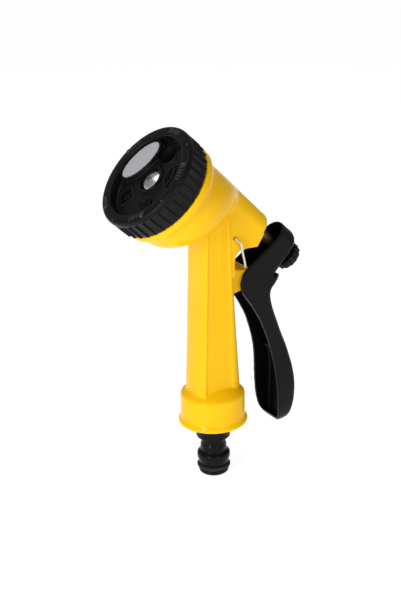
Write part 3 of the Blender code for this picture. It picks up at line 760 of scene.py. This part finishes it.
def rim_mark(figure, angle):
    """A figure, and after it five dashes that spread like a spray."""
    strokes = []
    for name in SEGMENTS[figure]:
        ends = [(FIGURE_WIDE * a + FIGURE_LEFT, FIGURE_FOOT + FIGURE_HIGH * b) for a, b in STROKES[name]]
        strokes.append(rim_stroke(*ends, angle, FIGURE_STROKE))
    for k in range(5):
        foot = DASH_LEFT + DASH_PITCH * k
        head = foot + DASH_LEAN * (k - 2)
        strokes.append(rim_stroke((foot, DASH_FOOT), (head, DASH_HEAD), angle, DASH_STROKE))
    return strokes


screen_angle = math.atan2(screen_middle.y, screen_middle.x)
half_way = math.radians(36)
places = (FULL, FAN, JET, MIST, screen_angle)
marks = []
for figure, angle in zip("12345", places):
    marks += rim_mark(figure, angle)
for angle in places:
    marks.append(rim_stroke((0.0, 24.9), (0.0, 25.2), angle + half_way, DOT_STROKE))
print("marks on the rim: %d strokes" % len(marks))
rim_marks = merged("rim_marks", *marks)
for piece, finish in ((grip_ring, dial_black), (dial_face, dial_black), (rim_marks, mark_black)):
    smooth_shaded(piece, 35)
    wear(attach(piece, "dial"), finish)
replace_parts(dial_face, "dial_housing")
print("face: %d faces" % len(dial_face.data.polygons))

# %% [markdown]
# **The shower screen** is a thin oval sheet with rows of small holes. Cutting hundreds of holes with
# Booleans is slow, so the sheet is drawn flat instead: its edge and all its holes are closed lines, a
# constrained Delaunay triangulation fills what lies between them, and Solidify gives it thickness.

# %% Shower screen
from mathutils.geometry import delaunay_2d_cdt

SCREEN_DEPTH, SCREEN_SHEET, SCREEN_EDGE = 1.6, 0.4, 0.9
HOLE_RADIUS, HOLE_PITCH, ROW_PITCH = 0.21, 0.95, 0.87
middle_2d = Vector((screen_middle.x, screen_middle.y))
radial = middle_2d.normalized()
tangent = Vector((-radial.y, radial.x))
lines = [[Vector(point) for point in oval(screen_middle, SCREEN_LONG, SCREEN_WIDE, 72)]]
for row in range(-9, 10):
    for step in range(-14, 15):
        along = HOLE_PITCH * (step + 0.5 * (row % 2))
        outward = HOLE_PITCH * ROW_PITCH * row
        share = (along / (SCREEN_LONG - SCREEN_EDGE)) ** 2 + (outward / (SCREEN_WIDE - SCREEN_EDGE)) ** 2
        if share < 1.0:
            hole_middle = middle_2d + tangent * along + radial * outward
            lines.append([Vector(point[:2]) for point in circle(HOLE_RADIUS, 0.0, 8, hole_middle)])
corners = []
edges = []
for line in lines:
    first = len(corners)
    corners += line
    edges += [(first + k, first + (k + 1) % len(line)) for k in range(len(line))]
filled = delaunay_2d_cdt(corners, edges, [], 4, 1e-5)
sheet = [(x, y, -SCREEN_DEPTH) for x, y in filled[0]]
shower = add_mesh("shower_sheet", sheet, filled[2], DIAL)
thickness = shower.modifiers.new("thickness", "SOLIDIFY")
thickness.thickness = SCREEN_SHEET * MM
thickness.offset = 0.0
settle(shower)
wear(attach(shower, "dial"), screen_grey)
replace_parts(shower, "shower_screen")
print("screen: %d holes, %d faces" % (len(lines) - 1, len(shower.data.polygons)))

# %% [markdown]
# **Outlet inserts.** A turned funnel lines the open hole, the jet is a small stepped nose, the fan is a
# lens with a slit, and the mist outlet sits under two diagonal bars. **The screw** has a low dome with a
# cross cut into it and lies in its own well.

# %% Inserts
funnel_profile = behind([(5.45, 4.9), (5.45, 9.0), (3.6, 9.0), (3.7, 7.6), (4.9, 5.0)])
funnel = lathe("full_flow_funnel", funnel_profile, DIAL, 64, outlet(FULL), looped=True)
jet_profile = [(0.8, 9.0), (0.8, 3.2), (1.3, 2.4), (1.9, 2.4), (1.9, 3.0), (2.35, 3.0), (2.35, 9.0)]
jet_profile = rounded(behind(jet_profile), 0.12, closed=True)
jet = lathe("jet_nose", jet_profile, DIAL, 48, outlet(JET), looped=True)
fan = block("fan_nose", oval(outlet(FAN), 4.3, 1.6), 2.7, 9.0)
carve(fan, block("fan_slit", oval(outlet(FAN), 3.1, 0.45, 32, 4.0), 0.0, 12.0))
mist_middle = outlet(MIST)
mist = block("mist_plate", oval(mist_middle, 3.1, 3.1, 48, 6.0), 5.6, 9.0)
for side, rise in ((-1, 0), (1, 0), (0, -1), (0, 1)):
    hole_middle = mist_middle[0] + 1.5 * side, mist_middle[1] + 1.5 * rise
    carve(mist, rod("swirl", 0.6, 0.0, 12.0, count=20, centre=hole_middle))
bars = []
for offset in (-1.1, 1.1):
    slant = [(-2.5, -1.6 + offset), (-2.1, -2.2 + offset), (2.5, 1.6 + offset), (2.1, 2.2 + offset)]
    slant = [(mist_middle[0] + x, mist_middle[1] + y) for x, y in slant]
    bars.append(block("mist_bar", slant, 4.6, 6.0))
mist_bars = merged("mist_bars", *bars)
INSERTS = {"full_flow_sleeve": funnel, "jet_nozzle": jet, "fan_nozzle": fan, "mist_swirler": mist}
for node, piece in INSERTS.items():
    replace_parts(wear(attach(smooth_shaded(piece), "dial"), dial_black), node)
wear(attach(mist_bars, "dial"), dial_black)
print("outlet inserts: %d, and %d bars" % (len(INSERTS), len(bars)))

# %% Screw
DOME_FRONT, DOME_DROP, DOME_RADIUS, DOME_ANGLE = 2.95, 1.75, 5.2, math.radians(48)
CROSS_HALF, CROSS_THICK, CROSS_FLOOR, CROSS_TURN = 1.7, 0.34, 4.3, 0.5
dome = [(0.0, DOME_FRONT)]
for a in (math.radians(angle) for angle in (8, 16, 24, 32, 40, 46)):
    reach = DOME_RADIUS * math.sin(a) / math.sin(DOME_ANGLE)
    dome.append((reach, DOME_FRONT + DOME_DROP * (1 - math.cos(a)) / (1 - math.cos(DOME_ANGLE))))
dome += [(5.25, 4.8), (5.2, 5.1), (1.5, 5.1), (1.5, 12.0), (0.0, 12.0)]
screw = lathe("cross_screw", behind(dome), DIAL, 96)
bar = [(-CROSS_HALF, -CROSS_THICK), (CROSS_HALF, -CROSS_THICK), (CROSS_HALF, CROSS_THICK),
       (-CROSS_HALF, CROSS_THICK)]
for quarter in (0.0, math.pi / 2):
    c = math.cos(quarter + CROSS_TURN)
    s = math.sin(quarter + CROSS_TURN)
    turned = [(x * c - y * s, x * s + y * c) for x, y in bar]
    carve(screw, block("slot", turned, 0.0, CROSS_FLOOR))
print("screw: %.1f mm across" % (2 * DOME_RADIUS))
smooth_shaded(screw, 28)
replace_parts(wear(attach(screw, "casting"), screw_steel), "dial_screw")

# %% [markdown]
# ## The lever
#
# The lever is a channel: two side walls and a back, open towards the grip, that widens into a hood over
# the valve stem. It is drawn as stations along its length, each a front point, a back point and a half
# width. A smooth curve through the stations gives as many sections as the skin needs, and the hollow
# is the same loft, drawn narrower and reaching out through the front.

# %% Lever stations in the mirror plane
SPRAY = DIAL.to_3x3().col[2].normalized()
RISE = DIAL.to_3x3().col[1].normalized()
ORIGIN = DIAL.translation / MM


def barrel_point(height, depth):
    """A point in the mirror plane, as (y, z), from its height and depth along the barrel."""
    point = ORIGIN + RISE * height - SPRAY * depth
    return point.y, point.z


# (front edge), (back), half width, from the foot up to where the hood starts
GRIP_STATIONS = [((36.6, 19.5), (38.0, 19.6), 3.0), ((35.2, 20.9), (39.6, 21.0), 6.6),
                 ((34.0, 24.0), (41.7, 24.4), 9.6), ((33.3, 29.6), (43.0, 30.4), 11.1),
                 ((32.8, 36.6), (43.6, 37.2), 11.5), ((32.4, 43.2), (43.6, 43.6), 11.3),
                 ((31.9, 50.0), (42.8, 50.4), 10.7), ((31.0, 56.6), (41.3, 57.0), 9.9),
                 ((29.6, 63.2), (39.4, 63.6), 9.3), ((27.6, 70.0), (36.9, 70.2), 8.9),
                 ((24.8, 77.8), (34.5, 77.4), 8.5), ((22.0, 83.2), (32.6, 83.0), 8.3),
                 ((19.0, 88.4), (31.4, 87.8), 8.1), ((16.2, 92.4), (31.0, 91.6), 8.0),
                 ((14.3, 95.6), (31.7, 94.4), 7.9), ((13.3, 99.4), (33.8, 96.6), 7.8),
                 ((13.9, 102.8), (35.6, 98.8), 7.7), ((15.2, 105.6), (36.2, 101.0), 7.6)]
HOOD_WIDTH, HOOD_LEAN = 7.5, 0.22
HOOD_FOOT, HOOD_FRONT, HOOD_BACK = -4.0, 74.6, 90.7
ARCH_HEIGHT, ARCH_RISE, ARCH_FRONT, ARCH_ROUND = 17.6, 7.5, 79.4, 3.0


def hood_stations():
    """The hood runs up along the barrel and closes over the stem in a round arch."""
    stations = []
    for height, back in ((-3.6, 91.2), (2.0, 90.6), (7.0, 90.5), (12.0, HOOD_BACK), (17.0, HOOD_BACK)):
        front = HOOD_FRONT + HOOD_LEAN * (height - HOOD_FOOT)
        stations.append((barrel_point(height, front), barrel_point(height, back), HOOD_WIDTH))
    for angle in (math.radians(degrees) for degrees in (20, 38, 54, 68, 80)):
        height = ARCH_HEIGHT + ARCH_RISE * math.sin(angle)
        back = HOOD_BACK - ARCH_ROUND * (1 - math.cos(angle))
        width = HOOD_WIDTH * math.cos(angle)
        stations.append((barrel_point(height, ARCH_FRONT), barrel_point(height, back), width))
    return stations


def between(p0, p1, p2, p3, t):
    """Catmull-Rom: a smooth value between p1 and p2."""
    return 0.5 * (2 * p1 + (p2 - p0) * t + (2 * p0 - 5 * p1 + 4 * p2 - p3) * t ** 2
                  + (3 * p1 - p0 - 3 * p2 + p3) * t ** 3)


def smooth_stations(stations, steps=4):
    """Stations with smooth ones added between them, as (front y, front z, back y, back z, width)."""
    rows = [(*front, *back, width) for front, back, width in stations]
    fine = []
    for k in range(len(rows) - 1):
        four = rows[max(k - 1, 0)], rows[k], rows[k + 1], rows[min(k + 2, len(rows) - 1)]
        for step in range(steps):
            fine.append([between(*values, step / steps) for values in zip(*four)])
    return fine + [list(rows[-1])]


# %% Lever skin
WALL, BACK_ROUND, PAST_THE_EDGE = 1.7, 2.6, 4.0


def lever_ring(row, shrink=0.0, reach=0.0):
    """One section: flat sides, a back with round corners, and a front that may reach past the edge."""
    front, back, width = Vector(row[0:2]), Vector(row[2:4]), max(row[4] - shrink, 0.4)
    along = (back - front).normalized()
    depth = (back - front).length - shrink
    corner = max(0.3, min(BACK_ROUND - 0.6 * shrink, 0.8 * width, 0.45 * depth))
    outline = [(width, -reach), (width, 0.5 * depth)]
    for a in (math.radians(angle) for angle in (90, 70, 50, 30, 12, 0)):
        outline.append((width - corner + corner * math.sin(a), depth - corner + corner * math.cos(a)))
    outline += [(-x, far) for x, far in reversed(outline)]
    return [(x, *(front + along * far)) for x, far in outline]


rows = smooth_stations(GRIP_STATIONS + hood_stations())
lever = moulded(loft("lever_channel", [lever_ring(row) for row in rows]), 0.36, 6)
inside = [row for row in rows[6:-1] if row[4] > 3.2]
hollow = loft("hollow", [lever_ring(row, WALL, PAST_THE_EDGE) for row in inside])
carve(lever, hollow)
print("lever: %d faces" % len(lever.data.polygons))

# %% [markdown]
# Three thin ribs stiffen the channel on the inside, and a long slot lets the stem through the hood's
# back, with room for the hood to tilt. The lip round the opening is left sharp, as on the real
# moulding, and catches the light as a thin line.

# %% Ribs and openings of the lever
SLOT_HALF, SLOT_RISE = 2.9, 2.3
RIB_HALF, RIB_START = 0.45, 0.42
slot_outline = arc((0.0, SLOT_RISE), SLOT_HALF, 0, 180, 12) + arc((0.0, 0.0), SLOT_HALF, 180, 360, 12)
stem_way = block("stem_way", slot_outline, 84.0, 99.0, VALVE)
carve(lever, stem_way)
ribs = []
for k in (30, 42, 54):
    row = rows[k]
    front, back = Vector(row[0:2]), Vector(row[2:4])
    along = (back - front).normalized()
    thick = Vector((-along.y, along.x)) * RIB_HALF
    inner = front + along * ((back - front).length * RIB_START)
    outer = back - along * 0.8
    outline = [tuple(inner + thick), tuple(outer + thick), tuple(outer - thick), tuple(inner - thick)]
    ribs.append(plate("rib", outline, row[4] - 0.8))
print("ribs: %d" % len(ribs))
lever_ribs = merged("lever_ribs", *ribs)
smooth_shaded(lever, 38)
for piece in (lever, lever_ribs):
    wear(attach(piece, "lever"), lever_black)
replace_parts(lever, "lever")

# %% [markdown]
# ## Flow knob
#
# The flow knob screws onto the end of the stem. Its side has finger flutes, so each ring of the loft
# waves in and out a number of times, less towards the rounded edges.

# %% Flow knob
KNOB_RADIUS, KNOB_FRONT, KNOB_BACK, FLUTES = 7.2, 92.5, 97.8, 14


def knob_row(radius, depth, wave):
    """One ring of the knob; wave is how deep its finger flutes are there."""
    row = []
    for k in range(FLUTES * 10):
        a = 2 * math.pi * k / (FLUTES * 10)
        dip = wave * (0.5 - 0.5 * math.cos(FLUTES * a)) ** 2
        row.append(((radius - dip) * math.cos(a), (radius - dip) * math.sin(a), -depth))
    return row


knob_profile = [(2.2, KNOB_FRONT, 0), (6.2, KNOB_FRONT, 0), (6.9, KNOB_FRONT + 0.25, 0.3),
                (KNOB_RADIUS, KNOB_FRONT + 0.7, 0.75), (KNOB_RADIUS, KNOB_BACK - 1.6, 0.75),
                (6.7, KNOB_BACK - 1.05, 0.6), (6.0, KNOB_BACK - 0.4, 0.35), (5.4, KNOB_BACK, 0.1),
                (4.6, KNOB_BACK, 0), (4.3, KNOB_BACK - 0.5, 0), (2.2, KNOB_BACK - 0.5, 0)]
knob = loft("fluted_knob", [knob_row(*row) for row in knob_profile], VALVE, looped=True)
print("knob: %.1f mm across, %d flutes" % (2 * KNOB_RADIUS, FLUTES))
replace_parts(wear(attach(smooth_shaded(knob, 35), "knob"), lever_black), "flow_knob")

# %% [markdown]
# ## The wire bail
#
# The bail is a bent spring-steel wire: two ends hooked into the gusset, two long arms and a crossbar that
# snaps over the lever. A curve with a round bevel is exactly a bent wire, and it is turned into a mesh.

# %% Bail
WIRE_RADIUS = 0.55
HALF_ROUTE = [(7.2, 0.0, 0.0), (9.2, 0.0, 0.0), (9.9, 0.3, -0.4), (10.1, 1.0, -1.2), (10.1, 2.2, -2.4),
              (10.1, 2.5, -3.6), (10.1, 4.7, -14.2), (9.9, 4.8, -14.9), (9.3, 4.9, -15.2), (8.4, 4.9, -15.2)]
route = HALF_ROUTE + [(-x, y, z) for x, y, z in reversed(HALF_ROUTE)]
wire = bpy.data.curves.new("bent_wire", "CURVE")
wire.dimensions = "3D"
wire.bevel_depth = WIRE_RADIUS * MM
wire.bevel_resolution = 5
wire.resolution_u = 6
wire.use_fill_caps = True
strand = wire.splines.new("BEZIER")
strand.bezier_points.add(len(route) - 1)
for point, (x, y, z) in zip(strand.bezier_points, route):
    point.co = Vector((x, bail_pivot.y + y, bail_pivot.z + z)) * MM
    point.handle_left_type = point.handle_right_type = "AUTO"
swept = bpy.data.objects.new("swept_wire", wire)
bpy.context.scene.collection.objects.link(swept)
bail = bpy.data.objects.new("bent_wire", bpy.data.meshes.new_from_object(swept))
bpy.data.objects.remove(swept)
bpy.context.scene.collection.objects.link(bail)
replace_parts(wear(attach(bail, "bail"), wire_steel), "wire_bail")
print("bail: %d faces" % len(bail.data.polygons))

# %% [markdown]
# ## Hose plug
#
# The click-on plug below the collar is turned in outline: a flange under the lip, a neck, a round rib, a
# groove for the O-ring and the nose. Two mould seams run down its sides as faint raised lines.

# %% Plug and its O-ring
BORE, PLUG_TOP = 4.7, 38.1
SEAM_LOW, SEAM_HIGH, SEAM_WIDEST = 8.0, 31.0, 9.0
SEAM_PROUD, SEAM_ROOT, SEAM_HALF = 0.07, 0.6, 0.16
RING_MIDDLE, RING_HEIGHT, RING_THICK = 7.35, 3.8, 1.12
plug_profile = [(BORE, 0.0), (6.9, 0.0), (7.6, 0.8), (7.6, 2.2), (6.7, 2.35), (6.7, 5.25), (7.6, 5.4),
                (7.6, 7.6), (8.35, 8.2), (8.4, 9.7), (8.3, 11.0), (7.4, 11.9), (6.65, 12.5), (6.6, 15.6),
                (6.3, 16.4), (6.1, 17.2), (6.1, 19.4), (6.5, 19.9), (8.3, 20.1), (8.7, 20.6), (8.7, 30.6),
                (12.9, 30.6), (12.9, PLUG_TOP), (BORE, PLUG_TOP)]
seam_side = [(r, z) for r, z in plug_profile if SEAM_LOW < z < SEAM_HIGH and r < SEAM_WIDEST]
plug = lathe("turned_plug", rounded(plug_profile, 0.35, 3, closed=True), WORLD, 96, looped=True)
seams = []
for side in (-1, 1):
    outline = [(side * (r + SEAM_PROUD), z) for r, z in seam_side]
    outline += [(side * (r - SEAM_ROOT), z) for r, z in reversed(seam_side)]
    seams.append(loft("seam", [[(x, y, z) for x, z in outline] for y in (-SEAM_HALF, SEAM_HALF)]))
plug_seams = merged("plug_seams", *seams)
ring = []
for k in range(24):
    around = 2 * math.pi * k / 24
    ring.append((RING_MIDDLE + RING_THICK * math.cos(around), RING_HEIGHT + RING_THICK * math.sin(around)))
o_ring = lathe("hose_o_ring", ring, WORLD, 96, looped=True)
print("plug: %.1f mm high, %.1f mm across its ring" % (PLUG_TOP, 2 * (RING_MIDDLE + RING_THICK)))
for piece in (smooth_shaded(plug, 50), plug_seams):
    wear(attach(piece, "casting"), plug_black)
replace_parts(plug, "hose_plug")
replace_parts(wear(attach(smooth_shaded(o_ring, 60), "casting"), rubber), "plug_o_ring")

# %% [markdown]
# ## Valve spring
#
# The spring stands between the valve washer and the gland nut. When the lever draws the stem back, the
# spring gets shorter.

# %% Valve spring
SPRING_RADIUS, SPRING_WIRE, SPRING_FRONT, SPRING_BACK = 4.3, 0.5, 34.6, 56.6
SPRING_TURNS, STEPS_A_TURN, TRAVEL = 6, 28, 4.1


def spring_ring(k):
    """One ring of points round the spring's wire, k steps along the coil."""
    angle = 2 * math.pi * k / STEPS_A_TURN
    depth = SPRING_FRONT + (SPRING_BACK - SPRING_FRONT) * k / (SPRING_TURNS * STEPS_A_TURN)
    ring = []
    for around in (math.radians(45.0 * side) for side in range(8)):
        reach = SPRING_RADIUS + SPRING_WIRE * math.cos(around)
        along = -depth + SPRING_WIRE * math.sin(around)
        ring.append((reach * math.cos(angle), reach * math.sin(angle), along))
    return ring


coil = loft("valve_coil", [spring_ring(k) for k in range(SPRING_TURNS * STEPS_A_TURN + 1)], VALVE)
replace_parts(wear(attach(coil, "casting"), wire_steel), "valve_spring")
inward = (VALVE.to_3x3() @ Vector((0.0, 0.0, 1.0))).normalized()
still_end = VALVE @ Vector((0.0, 0.0, -SPRING_BACK))
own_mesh(coil)

# %% [markdown]
# ## Parts that keep their shape
#
# The small springs, the seals, the washers and the valve already have the right shape, and most of
# them lie inside. Each takes the finish of its material slot.

# %% Finishes for the remaining solids
SLOT_FINISH = {"yellow_plastic": yellow, "black_plastic": dial_black, "rubber": rubber,
               "steel": wire_steel, "brass": brass}
kept = 0
for part in frame["record"]["subparts"]:
    node = frame["nodes"][part["node"]]
    if not node.hide_render:
        node.material_slots[0].material = SLOT_FINISH[part["material_slot"]].material
        kept += 1
print("solids kept in view: %d" % kept)

# %% [markdown]
# ## Floor, light and camera
#
# The floor is plain and pale, and shines a little by itself, so that it stays white far away. Two
# upright strips of soft light stand to the left and right of the camera. The left one is wider and
# stronger, which gives the flat sides of the grip different tones. A weaker light hangs above, and the
# white surroundings fill the rest.

# %% Floor
WHITE = (1.0, 1.0, 1.0)
FLOOR_HALF = 3000
floor_grey = Finish("floor", roughness=0.7, specular_ior_level=0.1, emission_strength=0.86,
                    emission_color=WHITE)
patches = floor_grey.speckle(300.0)
floor_grey.set("Base Color", floor_grey.mix(patches, (0.38, 0.38, 0.38), (0.42, 0.42, 0.42)))
floor_corners = [(FLOOR_HALF * x, FLOOR_HALF * y, 0) for x, y in ((-1, -1), (1, -1), (1, 1), (-1, 1))]
floor = add_mesh("floor", floor_corners, [(0, 1, 2, 3)], WORLD)
wear(floor, floor_grey)
print("floor: %.0f m across" % (2 * FLOOR_HALF * MM))

# %% [markdown]
# Lights and camera share one set of directions: toward the camera, level across its view, and straight
# up. The camera looks down from the right of the dial, and is turned by about a degree.

# %% Directions of the view
TURN_AROUND, TURN_UP, TURN_ROLL = math.radians(58.51), math.radians(21.52), math.radians(-1.28)
ahead = Vector((math.sin(TURN_AROUND), -math.cos(TURN_AROUND), 0.0))
toward = ahead * math.cos(TURN_UP) + Vector((0.0, 0.0, math.sin(TURN_UP)))
level = Vector((math.cos(TURN_AROUND), math.sin(TURN_AROUND), 0.0))
upward = toward.cross(level)
right = level * math.cos(TURN_ROLL) + upward * math.sin(TURN_ROLL)
above = upward * math.cos(TURN_ROLL) - level * math.sin(TURN_ROLL)
middle = Vector((0.0, 0.0, 0.09))
print("camera direction: %.1f degrees round, %.1f up" % (math.degrees(TURN_AROUND), math.degrees(TURN_UP)))

# %% Soft lights
STRIP_ANGLE, STRIP_FAR, STRIP_LIFT, STRIP_TALL = math.radians(33.0), 0.75, 0.20, 0.56


def soft_light(name, across, up, near, width, height, power):
    """A rectangle of light, placed as the camera sees it, in metres from the object's middle."""
    data = bpy.data.lights.new(name, "AREA")
    data.shape = "RECTANGLE"
    data.size = width
    data.size_y = height
    data.energy = power
    lamp = bpy.data.objects.new(name, data)
    lamp.location = middle + across * level + up * Vector((0, 0, 1)) + near * ahead
    lamp.rotation_euler = (middle - lamp.location).to_track_quat("-Z", "Y").to_euler()
    bpy.context.scene.collection.objects.link(lamp)
    print("%s: %.2f W" % (name, power))


for name, side, wide, power in (("left_strip", -1, 0.14, 3.4), ("right_strip", 1, 0.10, 0.95)):
    across = side * STRIP_FAR * math.sin(STRIP_ANGLE)
    near = STRIP_FAR * math.cos(STRIP_ANGLE)
    soft_light(name, across, STRIP_LIFT, near, wide, STRIP_TALL, power)
soft_light("top", -0.2, 0.8, 0.1, 0.6, 0.6, 1.6)

# %% [markdown]
# The surroundings are white. What the camera sees of them is full white, and what they shine on the
# object is much less, so that the lights keep their say and black stays black.

# %% White surroundings
SHINE_ON_OBJECT, SEEN_BEHIND = 0.28, 1.0
world = bpy.data.worlds.new("white_room")
world.use_nodes = True
room = world.node_tree
seen_directly = room.nodes.new("ShaderNodeLightPath").outputs["Is Camera Ray"]
strength = room.nodes.new("ShaderNodeMapRange")
strength.inputs["To Min"].default_value = SHINE_ON_OBJECT
strength.inputs["To Max"].default_value = SEEN_BEHIND
room.links.new(seen_directly, strength.inputs["Value"])
room.links.new(strength.outputs["Result"], room.nodes["Background"].inputs["Strength"])
room.nodes["Background"].inputs["Color"].default_value = (*WHITE, 1.0)
bpy.context.scene.world = world
print("surroundings: %.2f on the object" % SHINE_ON_OBJECT)

# %% Camera
LENS, FAR_AWAY, SHIFT_LEFT, SHIFT_UP = 71.16, 0.6, 0.00631, 0.05943
view = bpy.data.cameras.new("view")
view.lens = LENS
eye = bpy.data.objects.new("eye", view)
plug_middle = Vector((0.0, 0.0, 0.0292))
spot = plug_middle + FAR_AWAY * toward - SHIFT_LEFT * right + SHIFT_UP * above
eye.matrix_world = Matrix.Translation(spot) @ Matrix((right, above, toward)).transposed().to_4x4()
bpy.context.scene.collection.objects.link(eye)
bpy.context.scene.camera = eye
bpy.context.scene.view_settings.view_transform = "Standard"
print("camera %.3f m from the object's middle" % (spot - middle).length)
